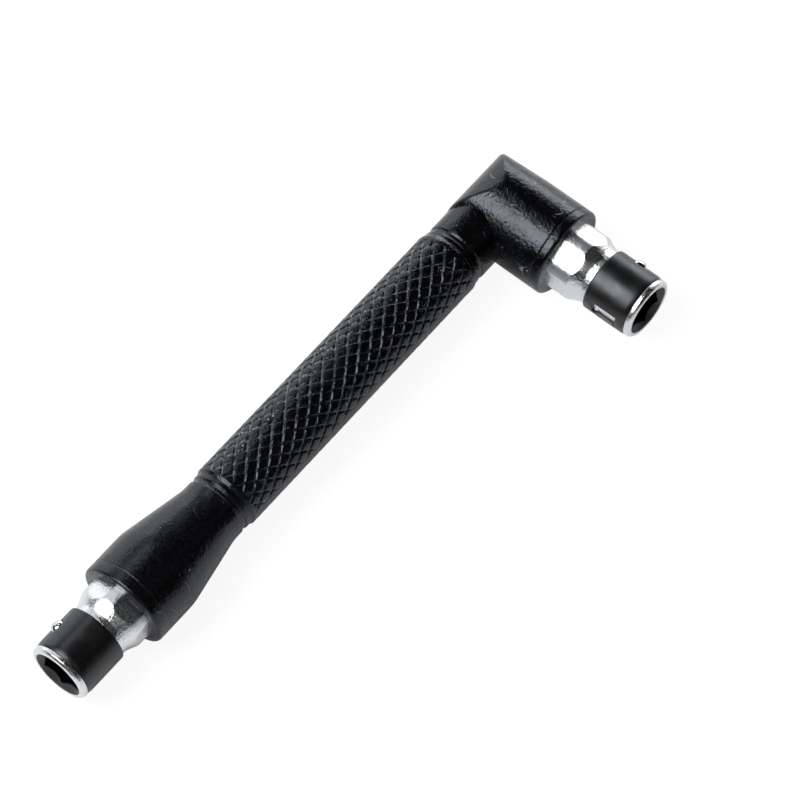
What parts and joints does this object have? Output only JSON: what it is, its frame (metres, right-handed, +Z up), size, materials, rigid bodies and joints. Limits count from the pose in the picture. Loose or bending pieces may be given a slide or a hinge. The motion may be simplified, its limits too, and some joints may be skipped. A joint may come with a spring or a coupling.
{
  "type": "offset screwdriver",
  "caption": "L-shaped offset screwdriver: knurled black cast handle with a short arm at its head, and a chromed hex bit socket with ball detent at each end.",
  "frame": {"origin": "middle of the tool's box on the surface it lies on", "axes": "+X along the handle from the tail to the head, the arm points to -Y, +Z up with the tool lying flat"},
  "size_m": [0.1088, 0.036, 0.0147],
  "materials": {
    "black_casting": "semi-gloss black, fine orange peel with pits and scuffs",
    "chromed_steel": "bright chrome over turned steel",
    "black_spring_steel": "satin black oxide",
    "bright_ball": "polished steel"
  },
  "bodies": {
    "driver": {"body": "black_casting", "head_socket": "chromed_steel", "tail_socket": "chromed_steel", "head_spring_sleeve": "black_spring_steel", "tail_spring_sleeve": "black_spring_steel"},
    "head_ball": {"head_detent_ball": "bright_ball"},
    "tail_ball": {"tail_detent_ball": "bright_ball"}
  },
  "joints": [
    {"name": "head_ball_slide", "type": "slide", "parent": "driver", "child": "head_ball", "axis": [0.866, 0, 0.5], "range_m": [0, 0.0005], "stiffness_N_per_m": 4000, "springref_m": -0.0002},
    {"name": "tail_ball_slide", "type": "slide", "parent": "driver", "child": "tail_ball", "axis": [0, 0.866, 0.5], "range_m": [0, 0.0005], "stiffness_N_per_m": 4000, "springref_m": -0.0002}
  ]
}
